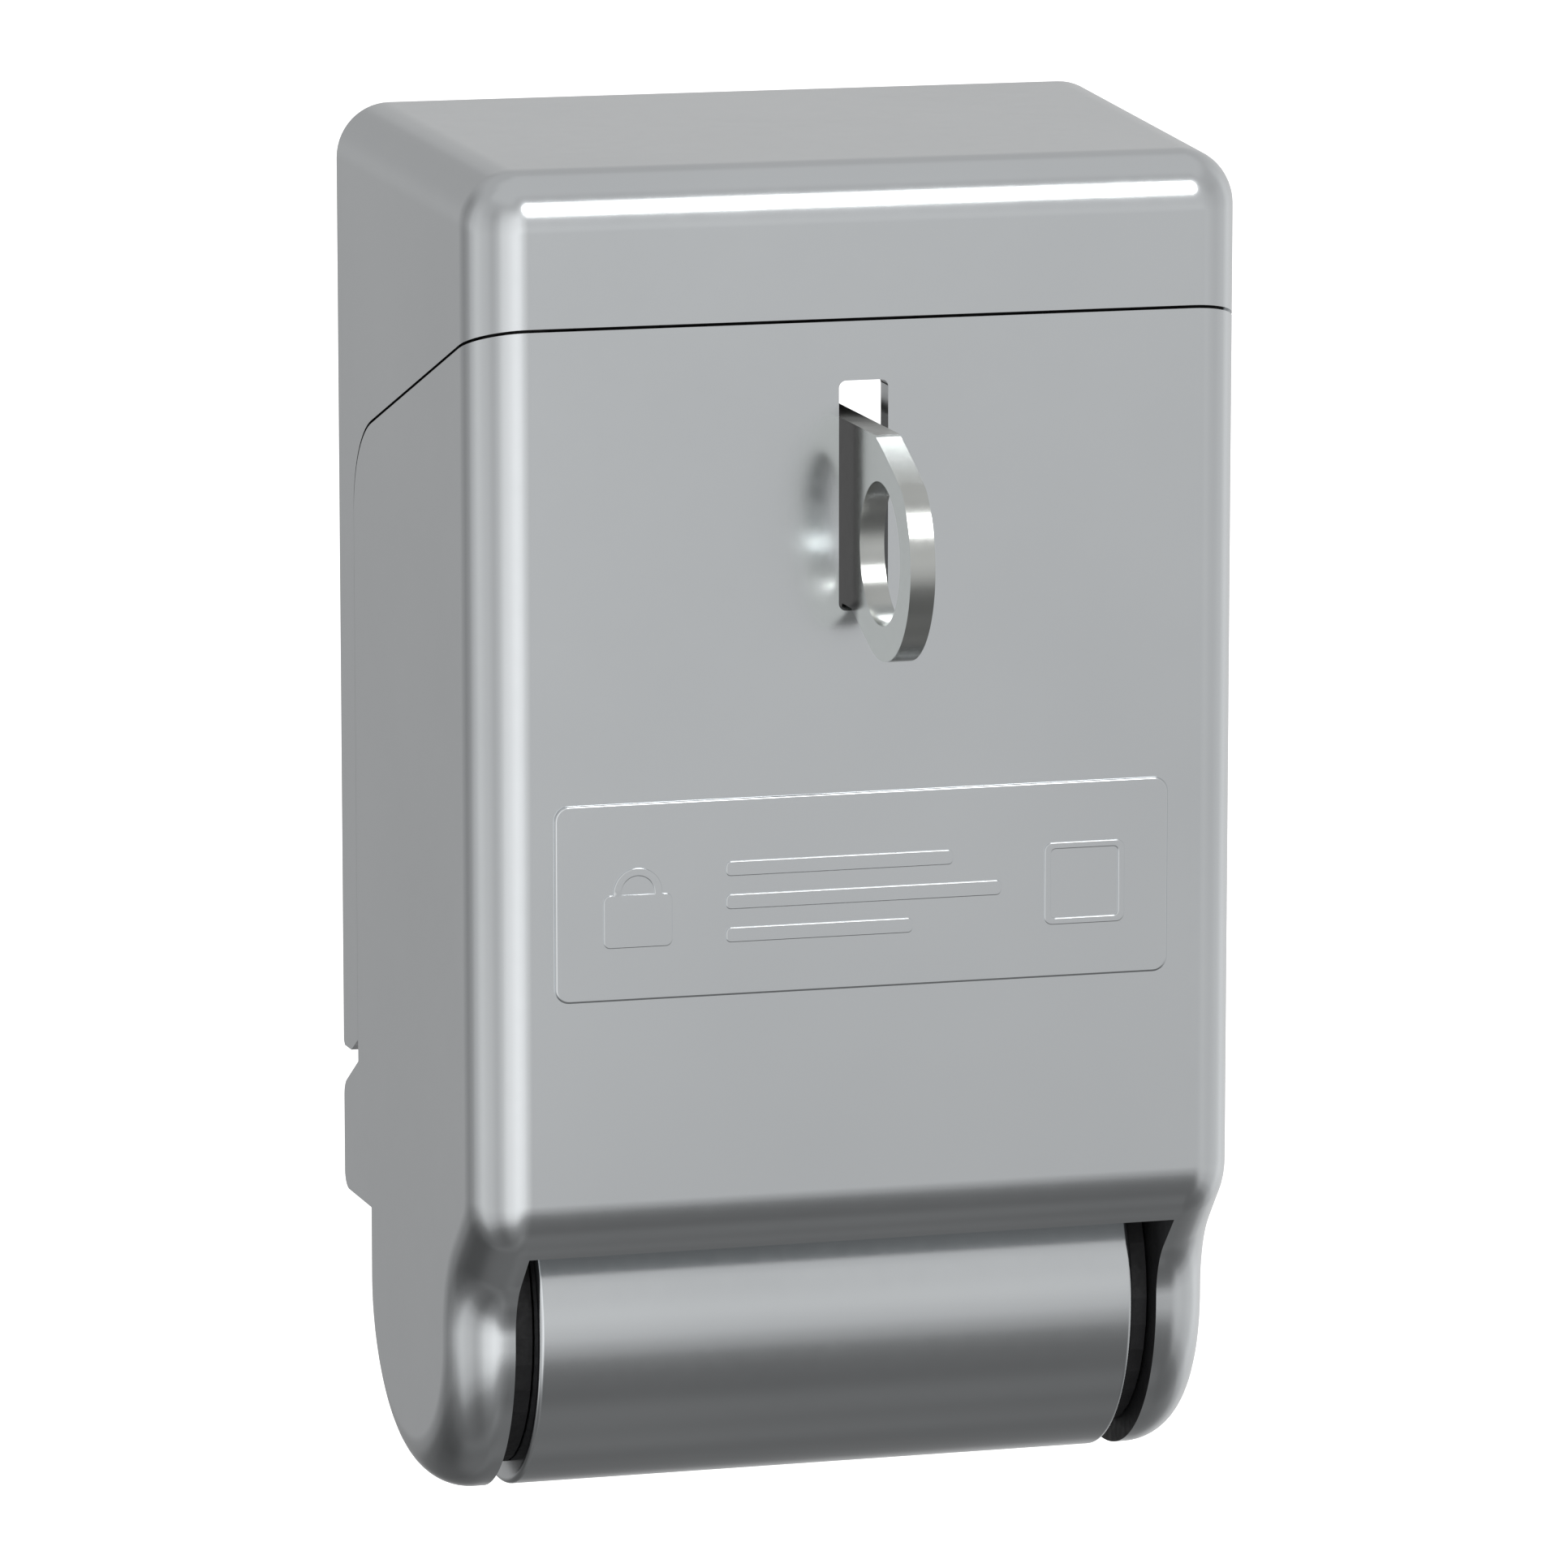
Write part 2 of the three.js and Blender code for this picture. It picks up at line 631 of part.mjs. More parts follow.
add("base_housing", baseHousing(), castMetal(), base);
add("padlock_staple", padlockStaple(), steel(), base);
rivetSpots.forEach((spot, i) => add(`staple_rivet_${i + 1}`, stapleRivet(spot), darkSteel(), base));
fixings.forEach((spot, i) => add(`threaded_insert_${i + 1}`, threadedInsert(spot), brass(), base));
add("door_gasket", doorGasket(), rubber(), base);
add("hood_seal", hoodSeal(), rubber(), base);
["left", "right"].forEach((name, i) => {
  const side = 2 * i - 1;
  add(`lid_buffer_${name}`, lidBuffer(bufferSpots[i]), rubber(), base);
  add(`barrel_end_cap_${name}`, barrelEndCap(side), nylon(), base);
  add(`hinge_bush_${name}`, hingeBush(side), nylon(), base);
  add(`torsion_spring_${name}`, torsionSpring(side), darkSteel(), base);
  add(`ear_spring_pin_${name}`, earSpringPin(side), darkSteel(), swing);
});
add("lid", lid(), castMetal(), swing);
add("hinge_pin", hingePin(), steel(), swing);
add("pin_end_plug", pinEndPlug(), castMetal(), swing);
add("spring_collar", springCollar(), darkSteel(), swing);
add("collar_cross_pin", collarCrossPin(), steel(), swing);

export default cover;
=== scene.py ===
"""Looks of the padlockable door lock cover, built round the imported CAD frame.

Sizes in this file are in millimetres, as in the CAD; mesh_object() turns them into metres. +X is the
viewer's right, the front faces -Y, the rear face is Y = 0 and the hinge axis lies at Z = 0. A
rectangle in the XZ plane is given as x0, x1, z0, z1.
"""

import math

import bmesh
import bpy
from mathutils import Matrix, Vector


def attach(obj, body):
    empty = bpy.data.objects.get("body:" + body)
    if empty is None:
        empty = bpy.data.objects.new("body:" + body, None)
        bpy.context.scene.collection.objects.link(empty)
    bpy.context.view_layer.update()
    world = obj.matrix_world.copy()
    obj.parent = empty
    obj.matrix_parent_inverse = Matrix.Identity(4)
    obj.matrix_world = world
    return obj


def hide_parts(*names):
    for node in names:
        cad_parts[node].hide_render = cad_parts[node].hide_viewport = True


MM = 0.001
SHARP_ANGLE = math.radians(32)  # an edge that turns by more than this counts as sharp

# Outer form
DEPTH = 30.85
FRONT_HALF_WIDTH = 23.6
FRONT_TOP = 70.95
DRAFT = 0.034  # how much each side and the top move outwards per mm towards the rear
EDGE_RADIUS = 3.3
CORNER_RADIUS = 3.45
WALL = 1.6
SLICES = 14  # facets across one rounded edge

# Hinge
HINGE_Y = -14.55
BARREL_RADIUS = 11.15
BARREL_HALF = 18.68
BARREL_EDGE = 0.35
BARREL_BORE = 9.0
BARREL_SEGMENTS = 144
EAR_INNER = 20.13
PIN_HOLE = 3.02
PIN_HOLE_START = -22.0
PLUG_SEAT = 22.6
PLUG_SEAT_RADIUS = 4.0

# Seam between hood and lid
SEAM_FRONT = 61.92
SEAM_SLOPE = math.radians(20)
SEAM_GAP = 0.19
SEAM_RADIUS = 6.5
REAR_LINE = HINGE_Y + BARREL_RADIUS
STRIP_GAP = 0.02  # 0.1 in the CAD; nearly closed here, as the photograph shows no line there
STRIP_BOTTOM = 13.4
STRIP_FLAT = 1.77  # how far forward the flat lower ends of the strips reach
STRIP_SLANT = 0.96  # how far their front edges stop above that
STRIP_CHAMFER = 0.25

# Lid
FRONT_END = 9.6  # where the flat front ends and curls under
CURL_RADIUS = 4.75
EAR_CONCAVE = 5.0
LIP_BACK = 5.5
LIP_TOP = 7.4
LIP_BOTTOM = 5.95
HEEL_BOTTOM = 4.4
HEEL_TOP = 10.93
HEEL_INNER = 22.9
HEEL_PEAK = 13.0
HEEL_ROUND = 1.3
HEEL_DROP = 0.75  # from HEEL_TOP down to the centre of the heel's rounding
SLOT = (-1.51, 1.51, 44.57, 58.3)
SLOT_CORNER = 0.45
PAD = (-18.95, 18.95, 21.78, 33.67)
PAD_HEIGHT = 0.22
PAD_CORNER = 0.9
PAD_EDGE = 0.15
MARK_HEIGHT = 0.09
MARK_EDGE = 0.06
SHACKLE = (-13.9, 28.3, 1.5)  # centre and radius of the padlock mark's shackle
BARS = [(-8.5, 5.5, 29.0, 29.9), (-8.5, 8.5, 27.0, 27.9), (-8.5, 3.0, 25.0, 25.9)]
MARK_FRAME = (11.2, 16.2, 25.0, 30.0)
FRAME_LINE = 0.4
LUG_INNER = 18.6  # lugs behind the side walls that meet the rubber buffers
LUG_DEPTHS = (-6.6, -4.7)
LUG_HALF = 2.0

# Base
PLATE = 2.4
PLATE_HALF = 20.0
PLATE_BOTTOM = -9.0
WINDOW = (-13.0, 13.0, 13.5, 55.0)
BOSS_RADIUS = 3.4
BOSS_FRONT = -7.0
FIXINGS = [(-17.6, 18.0), (17.6, 18.0), (-17.6, 60.0), (17.6, 60.0)]
INSERT_HOLE = 2.43
INSERT_DEPTH = 5.6
WEB_FRONT = -8.0  # the web that joins the barrel to the rear plate
GROOVE_DEPTH = 0.9
GROOVE_REACH = (2.1, 0.8)  # reach of the gasket groove's outer and inner edge beyond the window
BUFFER_SPOTS = (-20.2, 20.2)
BUFFER_HEIGHT = 40.0
BUFFER_HOLE = 0.8
INSIDE_POINT = (0, -15, 20)  # the inner faces of the walls and ears are turned towards it
RIVET_SPOTS = [(5.4, 61.2), (9.8, 61.2)]

# Staple
STAPLE_THICKNESS = 1.5
STAPLE_TOP = 55.77
SHACKLE_HOLE = 4.25
EYE = (-36.93, 48.9)  # y and z of the shackle hole's centre
NOSE = (-37.19, 48.8)  # y and z of the centre of the nose's rounding
NOSE_RADIUS = 6.2
NOSE_SLOPE = 20.8  # degrees of the nose's lower edge
NOSE_SWEEP = 59.7  # radius about the hinge of the nose's upper edge
SHOULDER_Y = -17.0  # where the upper edge starts to rise towards the foot
FOOT_DEPTH = 9.0
NECK_DROP = 1.1  # how much further the plate reaches down behind the lid's wall
UNDERSIDE_GAP = 0.13  # between the plate and the slot's lower end
TAIL_HEIGHT = 52.0  # height of the bend in the lower edge in front of the foot
FOOT = (-0.75, 12.5, 56.3, 66.0)
FOOT_FACE = -PLATE - 0.05
RIVET_HOLE = 1.25
PAINTED_SHADE_FROM = -31.4  # painted shade on the plate's sides: near-black behind this, where they enter the cover, fading to polished steel in front of the value below
PAINTED_SHADE_FADE_END = -32.8

# Camera and studio
CAMERA_PLACE = (-157.77, -581.44, 140.14)
CAMERA_TURN = math.radians(15.52)
CAMERA_DOWN = math.radians(10.49)
CAMERA_LENS = 225.3
BACKDROP_STRENGTH = 1.05
FLOOR_HEIGHT = -160.0
FLOOR_HALF = 9000.0
SQUARE = [(-1, -1), (1, -1), (1, 1), (-1, 1)]
LIGHT_TARGET = (0, -15, 30)


def half_width(y):
    return FRONT_HALF_WIDTH + DRAFT * (y + DEPTH)


def top_height(y):
    return FRONT_TOP + DRAFT * (y + DEPTH)


# ---- Mesh helpers --------------------------------------------------------------------------------


def mesh_object(name, points, faces):
    mesh = bpy.data.meshes.new(name)
    mesh.from_pydata([tuple(c * MM for c in p) for p in points], [], faces)
    mesh.validate()
    made = bpy.data.objects.new(name, mesh)
    bpy.context.scene.collection.objects.link(made)
    return made


def face_outwards(obj):
    work = bmesh.new()
    work.from_mesh(obj.data)
    bmesh.ops.recalc_face_normals(work, faces=work.faces)
    work.to_mesh(obj.data)
    work.free()
    return obj


def lofted(name, rings):
    """A closed body from rings of points, with a flat cap on the first and the last ring."""
    count = len(rings[0])
    faces = []
    for k in range(len(rings) - 1):
        for i in range(count):
            j = (i + 1) % count
            faces.append((k * count + i, k * count + j, (k + 1) * count + j, (k + 1) * count + i))
    last = (len(rings) - 1) * count
    faces.append(tuple(range(count)))
    faces.append(tuple(range(last, last + count)))
    return face_outwards(mesh_object(name, [p for ring in rings for p in ring], faces))


def arc(y, z, radius, start, end, steps):
    points = []
    for i in range(steps + 1):
        angle = math.radians(start + (end - start) * i / steps)
        points.append(Vector((y + radius * math.cos(angle), z + radius * math.sin(angle))))
    return points


def box(name, x0, x1, y0, y1, z0, z1):
    ring = [(y0, z0), (y1, z0), (y1, z1), (y0, z1)]
    return lofted(name, [[(x, y, z) for y, z in ring] for x in (x0, x1)])


def across(name, outline, x0, x1):
    """A YZ outline extruded along X."""
    return lofted(name, [[(x, p[0], p[1]) for p in outline] for x in (x0, x1)])


def rounded_rectangle(x0, x1, z0, z1, radius):
    corners = [(x1, z0, -90), (x1, z1, 0), (x0, z1, 90), (x0, z0, 180)]
    points = []
    for x, z, start in corners:
        cx = x - radius if x == x1 else x + radius
        cz = z - radius if z == z1 else z + radius
        points += arc(cx, cz, radius, start, start + 90, 8)
    return points


def panel(name, rectangle, radius, y0, y1):
    """A rounded rectangle of the XZ plane, extruded along Y."""
    outline = rounded_rectangle(*rectangle, radius)
    return lofted(name, [[(p[0], y, p[1]) for p in outline] for y in (y0, y1)])


def bar_y(name, x, z, radius, y0, y1):
    outline = arc(x, z, radius, 0, 360, 48)[:-1]
    return lofted(name, [[(p[0], y, p[1]) for p in outline] for y in (y0, y1)])


def turned(name, profile, segments=128, y=HINGE_Y, z=0.0):
    """A solid turned about an axis along X, from (x, radius) pairs."""
    rings = []
    for x, radius in profile:
        rings.append([(x, p[0], p[1]) for p in arc(y, z, radius, 0, 360, segments)[:-1]])
    return lofted(name, rings)


def evaluated(obj):
    graph = bpy.context.evaluated_depsgraph_get()
    return bpy.data.meshes.new_from_object(obj.evaluated_get(graph))


def combine(target, operation, *tools):
    """Applies each tool to target with an exact boolean, and removes the tool."""
    for tool in tools:
        step = target.modifiers.new("boolean", "BOOLEAN")
        step.operation = operation
        step.solver = "EXACT"
        step.object = tool
        made = evaluated(target)
        target.modifiers.clear()
        old = target.data
        target.data = made
        bpy.data.meshes.remove(old)
        bpy.data.objects.remove(tool)
    return target


def round_edges(obj, width):
    rounding = obj.modifiers.new("edges", "BEVEL")
    rounding.width = width * MM
    rounding.segments = 3
    rounding.limit_method = "ANGLE"
    rounding.angle_limit = SHARP_ANGLE
    obj.data = evaluated(obj)
    obj.modifiers.clear()


def soften(obj):
    """Smooth shading that keeps flat faces flat and sharp edges sharp."""
    obj.data.shade_smooth()
    obj.data.set_sharp_from_angle(angle=SHARP_ANGLE)
    weighted = obj.modifiers.new("normals", "WEIGHTED_NORMAL")
    weighted.keep_sharp = True
    weighted.weight = 100


# ---- Rounded bodies ------------------------------------------------------------------------------


def inset_outline(points, distances):
    """Moves each edge of a closed outline inwards by its own distance, and meets them again."""
    count = len(points)
    edges = []
    for i, a in enumerate(points):
        b = points[(i + 1) % count]
        normal = Vector((a.y - b.y, b.x - a.x)).normalized()
        edges.append((normal, normal.dot(a) + distances[i]))
    moved = []
    for i, point in enumerate(points):
        (n0, d0), (n1, d1) = edges[i - 1], edges[i]
        det = n0.x * n1.y - n0.y * n1.x
        if abs(det) < 0.004:
            normal = (n0 + n1).normalized()
            moved.append(point + normal * ((d0 + d1) / 2 - normal.dot(point)))
        else:
            moved.append(Vector(((d0 * n1.y - d1 * n0.y) / det, (d1 * n0.x - d0 * n1.x) / det)))
    return moved


def wide_body(name, soft_points, sharp_points, radius, inset=0.0):
    """A body with a YZ outline, as wide as half_width less inset. The edges that start at a soft
    point are rounded over towards both sides."""
    outline = soft_points + sharp_points
    rings = []
    for k in range(SLICES + 1):
        angle = k / SLICES * math.pi / 2
        distance = radius * (1 - math.sin(angle))
        moves = [distance if i < len(soft_points) else 0.0 for i in range(len(outline))]
        inwards = inset + radius * (1 - math.cos(angle))
        points = inset_outline(outline, moves)
        rings.append([(-(half_width(p.x) - inwards), p.x, p.y) for p in points])
    mirrored = [[(-x, y, z) for x, y, z in ring] for ring in reversed(rings)]
    return lofted(name, rings + mirrored)


def top_front_corner(inset=0.0):
    y = -DEPTH + CORNER_RADIUS
    z = top_height(y) - CORNER_RADIUS
    return arc(y, z, CORNER_RADIUS - inset, 90 + math.degrees(DRAFT), 180, 16)


def seam_line(rise, forward):
    """The seam from the front face to its vertical stretch, moved by the given amounts."""
    end_y = REAR_LINE - forward
    start_y = end_y - SEAM_RADIUS * (1 - math.sin(SEAM_SLOPE))
    start_z = SEAM_FRONT + rise - math.tan(SEAM_SLOPE) * (start_y + DEPTH)
    centre_z = start_z - SEAM_RADIUS * math.cos(SEAM_SLOPE)
    front = Vector((-DEPTH, SEAM_FRONT + rise))
    first = 90 - math.degrees(SEAM_SLOPE)
    return [front] + arc(end_y - SEAM_RADIUS, centre_z, SEAM_RADIUS, first, 0, 18)


def cavity(floor, rear):
    """The space inside the outer walls, from a floor height up."""
    soft = [Vector((rear, top_height(rear) - WALL))] + top_front_corner(WALL)
    sharp = [Vector((-DEPTH + WALL, floor)), Vector((rear, floor))]
    return wide_body("cavity", soft, sharp, EDGE_RADIUS - WALL, WALL)


# ---- Base ----------------------------------------------------------------------------------------


def hood_outline():
    soft = [Vector((0, top_height(0)))] + top_front_corner()
    strip_front = REAR_LINE + STRIP_GAP / 2
    sharp = seam_line(SEAM_GAP / 2, -STRIP_GAP / 2) + [
        Vector((strip_front, STRIP_BOTTOM + STRIP_SLANT)),
        Vector((-STRIP_FLAT, STRIP_BOTTOM)),
        Vector((-STRIP_CHAMFER, STRIP_BOTTOM)),
        Vector((0, STRIP_BOTTOM + STRIP_CHAMFER)),
    ]
    return soft, sharp


def gasket_groove():
    x0, x1, z0, z1 = WINDOW
    outer, inner = [
        panel("ring", (x0 - r, x1 + r, z0 - r, z1 + r), corner, *span)
        for r, corner, span in zip(GROOVE_REACH, (5, 4), ((-GROOVE_DEPTH, 1), (-2, 2)))
    ]
    return combine(outer, "DIFFERENCE", inner)


def hood_shell():
    shell = combine(
        wide_body("hood_shell", *hood_outline(), EDGE_RADIUS),
        "DIFFERENCE",
        cavity(0, -PLATE),
    )
    lower = box("plate", -PLATE_HALF, PLATE_HALF, -PLATE, 0, PLATE_BOTTOM, STRIP_BOTTOM + 1.2)
    half = BARREL_HALF - 0.4
    web = box("web", -half, half, WEB_FRONT, -PLATE + 0.2, PLATE_BOTTOM, -PLATE_BOTTOM)
    bosses = [bar_y("boss", x, z, BOSS_RADIUS, BOSS_FRONT, -PLATE + 0.5) for x, z in FIXINGS]
    combine(shell, "UNION", lower, web, *bosses)
    bore = BARREL_RADIUS - 0.4
    return combine(
        shell,
        "DIFFERENCE",
        turned("bore", [(-BARREL_HALF - 1, bore), (BARREL_HALF + 1, bore)]),
        panel("window", WINDOW, 4, -PLATE - 2, 2),
        gasket_groove(),
        *[bar_y("hole", x, z, INSERT_HOLE, -INSERT_DEPTH, 1) for x, z in FIXINGS],
        *[bar_y("hole", x, z, RIVET_HOLE, -PLATE - 1, 1) for x, z in RIVET_SPOTS],
        *[bar_y("hole", x, BUFFER_HEIGHT, BUFFER_HOLE, -PLATE - 1, -1.2) for x in BUFFER_SPOTS],
    )


def hinge_barrel():
    """The barrel as a tube with rounded ends."""
    end = BARREL_HALF - BARREL_EDGE
    edge = [(end + p.x, BARREL_RADIUS - BARREL_EDGE + p.y) for p in arc(0, 0, BARREL_EDGE, 0, 90, 8)]
    right = [(BARREL_HALF, BARREL_BORE)] + edge
    profile = right + [(-x, r) for x, r in reversed(right)]
    points, faces = [], []
    for k, (x, radius) in enumerate(profile):
        points += [(x, p.x, p.y) for p in arc(HINGE_Y, 0, radius, 0, 360, BARREL_SEGMENTS)[:-1]]
        below = k * BARREL_SEGMENTS
        above = (k + 1) % len(profile) * BARREL_SEGMENTS
        for i in range(BARREL_SEGMENTS):
            j = (i + 1) % BARREL_SEGMENTS
            faces.append((below + i, below + j, above + j, above + i))
    return face_outwards(mesh_object("hinge_barrel", points, faces))


# ---- Lid -----------------------------------------------------------------------------------------


def lid_outline():
    curl = arc(-DEPTH + CURL_RADIUS, FRONT_END, CURL_RADIUS, 180, 225, 12)
    concave_y = HINGE_Y - BARREL_RADIUS - EAR_CONCAVE
    along = curl[-1].x + curl[-1].y
    concave_z = along - EAR_CONCAVE * math.sqrt(2) - concave_y
    seam = seam_line(-SEAM_GAP / 2, STRIP_GAP / 2)
    soft = seam[:1] + curl
    soft += arc(concave_y, concave_z, EAR_CONCAVE, 45, 0, 14)
    soft += arc(HINGE_Y, 0, BARREL_RADIUS, 182, 360, 72)
    rear = REAR_LINE - STRIP_GAP / 2
    sharp = [Vector((REAR_LINE, HEEL_BOTTOM))]
    sharp += arc(-1, HEEL_BOTTOM + 1, 1, 270, 360, 8)
    sharp += arc(-HEEL_ROUND, HEEL_TOP - HEEL_DROP, HEEL_ROUND, 0, 60, 8)
    sharp += [Vector((rear, HEEL_PEAK))]
    sharp += list(reversed(seam[1:]))
    return soft, sharp


def barrel_room():
    """Room for the barrel between the ears, which leaves the lid's curled lower lip."""
    front, back = -DEPTH - 3, -DEPTH + LIP_BACK
    outline = [
        Vector((front, LIP_BOTTOM)),
        Vector((front, -20)),
        Vector((5, -20)),
        Vector((5, LIP_TOP + 0.1)),
        Vector((back, LIP_TOP + 0.1)),
        Vector((back, LIP_BOTTOM)),
    ]
    return across("room", outline, -EAR_INNER, EAR_INNER)


def buffer_lug(side):
    outer = half_width(-5) - WALL + 0.3
    x0, x1 = sorted((side * LUG_INNER, side * outer))
    return box("lug", x0, x1, *LUG_DEPTHS, BUFFER_HEIGHT - LUG_HALF, BUFFER_HEIGHT + LUG_HALF)


def lid_shell():
    shell = wide_body("lid_shell", *lid_outline(), EDGE_RADIUS)
    room_front, room_bottom = REAR_LINE - 0.6, HEEL_BOTTOM - 1
    plate_room = box("plate", -HEEL_INNER, HEEL_INNER, room_front, 3, room_bottom, LIP_TOP + 1)
    slot = panel("slot", SLOT, SLOT_CORNER, -DEPTH - 2, -DEPTH + WALL + 2)
    combine(shell, "DIFFERENCE", cavity(LIP_TOP, 3), barrel_room(), plate_room, slot)
    combine(shell, "UNION", buffer_lug(-1), buffer_lug(1))
    return combine(
        shell,
        "DIFFERENCE",
        turned("pin", [(PIN_HOLE_START, PIN_HOLE), (30, PIN_HOLE)], 48),
        turned("seat", [(PLUG_SEAT, PLUG_SEAT_RADIUS), (30, PLUG_SEAT_RADIUS)], 64),
    )


def pad_marks():
    """Plain raised marks on the label pad: a padlock, three bars and a frame."""
    front, back = -DEPTH - PAD_HEIGHT - MARK_HEIGHT, -DEPTH
    x, z, radius = SHACKLE
    body = panel("body", (x - 2.1, x + 2.1, 25.0, 28.2), 0.4, front, back)
    shackle = bar_y("shackle", x, z, radius, front, back)
    combine(shackle, "DIFFERENCE", bar_y("inside", x, z, radius - 0.5, front - 1, back + 1))
    bars = [panel("bar", bar, 0.3, front, back) for bar in BARS]
    x0, x1, z0, z1 = MARK_FRAME
    inside = (x0 + FRAME_LINE, x1 - FRAME_LINE, z0 + FRAME_LINE, z1 - FRAME_LINE)
    frame_mark = panel("frame", MARK_FRAME, 0.5, front, back)
    combine(frame_mark, "DIFFERENCE", panel("inside", inside, 0.3, front - 1, back + 1))
    return [body, shackle, *bars, frame_mark]


def label_pad():
    pad = panel("label_pad", PAD, PAD_CORNER, -DEPTH - PAD_HEIGHT, -DEPTH + 0.4)
    marks = pad_marks()
    round_edges(pad, PAD_EDGE)
    for mark in marks:
        round_edges(mark, MARK_EDGE)
    return combine(pad, "UNION", *marks)


# ---- Staple --------------------------------------------------------------------------------------


def staple_outline():
    """The nose's upper edge runs round the hinge axis, inside the path of the slot's upper end."""
    to_nose = Vector((NOSE[0] - HINGE_Y, NOSE[1]))
    reach = to_nose.length
    direction = math.degrees(math.atan2(to_nose.y, to_nose.x))
    meeting = math.acos((NOSE_SWEEP**2 - reach**2 - NOSE_RADIUS**2) / (2 * reach * NOSE_RADIUS))
    sweep_start = 180 - math.degrees(math.asin(STAPLE_TOP / NOSE_SWEEP))
    sweep_end = direction + math.degrees(math.asin(NOSE_RADIUS * math.sin(meeting) / NOSE_SWEEP))
    underside = SLOT[2] + UNDERSIDE_GAP
    neck_y = -DEPTH + WALL + 0.4
    foot_bottom, foot_top = FOOT[2:]
    return (
        [
            Vector((FOOT_FACE, foot_top)),
            Vector((-FOOT_DEPTH, foot_top)),
            Vector((-FOOT_DEPTH, STAPLE_TOP + 3)),
            Vector((SHOULDER_Y, STAPLE_TOP)),
        ]
        + arc(HINGE_Y, 0, NOSE_SWEEP, sweep_start, sweep_end, 8)
        + arc(*NOSE, NOSE_RADIUS, direction + math.degrees(meeting), 270 + NOSE_SLOPE, 40)[1:]
        + [
            Vector((-DEPTH, underside)),
            Vector((neck_y, underside)),
            Vector((neck_y, underside - NECK_DROP)),
            Vector((-DEPTH + FOOT_DEPTH, underside - NECK_DROP)),
            Vector((-FOOT_DEPTH + 1, TAIL_HEIGHT)),
            Vector((FOOT_FACE, foot_bottom)),
        ]
    )


def padlock_staple():
    half = STAPLE_THICKNESS / 2
    plate = across("staple_plate", staple_outline(), -half, half)
    combine(plate, "DIFFERENCE", turned("eye", [(-2, SHACKLE_HOLE), (2, SHACKLE_HOLE)], 96, *EYE))
    combine(plate, "UNION", panel("foot", FOOT, 1, FOOT_FACE - STAPLE_THICKNESS, FOOT_FACE))
    rivet_holes = [bar_y("hole", x, z, RIVET_HOLE, -6, 0) for x, z in RIVET_SPOTS]
    return combine(plate, "DIFFERENCE", *rivet_holes)


# ---- Materials -----------------------------------------------------------------------------------


def new_material(name, **inputs):
    material = bpy.data.materials.new(name)
    material.use_nodes = True
    shader = material.node_tree.nodes["Principled BSDF"]
    for key, value in inputs.items():
        shader.inputs[key.replace("_", " ")].default_value = value
    return material, material.node_tree, shader


def noise(tree, scale, detail=3.0):
    """Noise over the object's own coordinates; scale is in cells per millimetre."""
    place = tree.nodes.new("ShaderNodeTexCoord")
    texture = tree.nodes.new("ShaderNodeTexNoise")
    texture.inputs["Scale"].default_value = scale / MM
    texture.inputs["Detail"].default_value = detail
    tree.links.new(place.outputs["Object"], texture.inputs["Vector"])
    return texture.outputs["Fac"]


def spread(tree, value, low, high):
    """The value's middle range stretched to run from low to high."""
    node = tree.nodes.new("ShaderNodeMapRange")
    node.inputs["From Min"].default_value = 0.3
    node.inputs["From Max"].default_value = 0.7
    node.inputs["To Min"].default_value = low
    node.inputs["To Max"].default_value = high
    tree.links.new(value, node.inputs["Value"])
    return node.outputs["Result"]


def add_bump(tree, shader, height, distance):
    """Bumps of up to the given distance in millimetres."""
    node = tree.nodes.new("ShaderNodeBump")
    node.inputs["Distance"].default_value = distance * MM
    node.inputs["Strength"].default_value = 1.0
    tree.links.new(height, node.inputs["Height"])
    tree.links.new(node.outputs["Normal"], shader.inputs["Normal"])


def tint(tree, shader, factor, dark, light):
    """The base colour runs from dark at a factor of 0 to light at 1."""
    mix = tree.nodes.new("ShaderNodeMix")
    mix.data_type = "RGBA"
    mix.inputs["A"].default_value = (*dark, 1)
    mix.inputs["B"].default_value = (*light, 1)
    tree.links.new(factor, mix.inputs["Factor"])
    tree.links.new(mix.outputs["Result"], shader.inputs["Base Color"])


def mottle(tree, shader, scale, dark, light):
    """Uneven colour between dark and light, with scale in cells per millimetre."""
    tint(tree, shader, spread(tree, noise(tree, scale), 0, 1), dark, light)


def uneven_roughness(tree, shader, scale, low, high):
    tree.links.new(spread(tree, noise(tree, scale), low, high), shader.inputs["Roughness"])


def cast_metal():
    material, tree, shader = new_material("satin_cast_metal", Metallic=1.0)
    mottle(tree, shader, 0.05, (0.705, 0.73, 0.748), (0.735, 0.76, 0.778))
    uneven_roughness(tree, shader, 0.9, 0.165, 0.195)
    add_bump(tree, shader, noise(tree, 6.0, 2.0), 0.0012)
    return material


def painted_inner_shade():
    """Near-black painted shade for the inner faces of the casting and of the ears, which lie in
    shade inside the cover and in the gaps at the barrel.
    """
    material, tree, shader = new_material("painted_inner_shade", Metallic=0.2)
    mottle(tree, shader, 0.4, (0.018, 0.018, 0.02), (0.035, 0.035, 0.037))
    uneven_roughness(tree, shader, 1.5, 0.5, 0.65)
    add_bump(tree, shader, noise(tree, 4.0), 0.01)
    return material


def polished_steel():
    material, tree, shader = new_material("polished_steel", Metallic=1.0)
    mottle(tree, shader, 0.2, (0.585, 0.6, 0.58), (0.615, 0.63, 0.61))
    uneven_roughness(tree, shader, 2.0, 0.19, 0.23)
    add_bump(tree, shader, noise(tree, 8.0, 2.0), 0.0006)
    return material


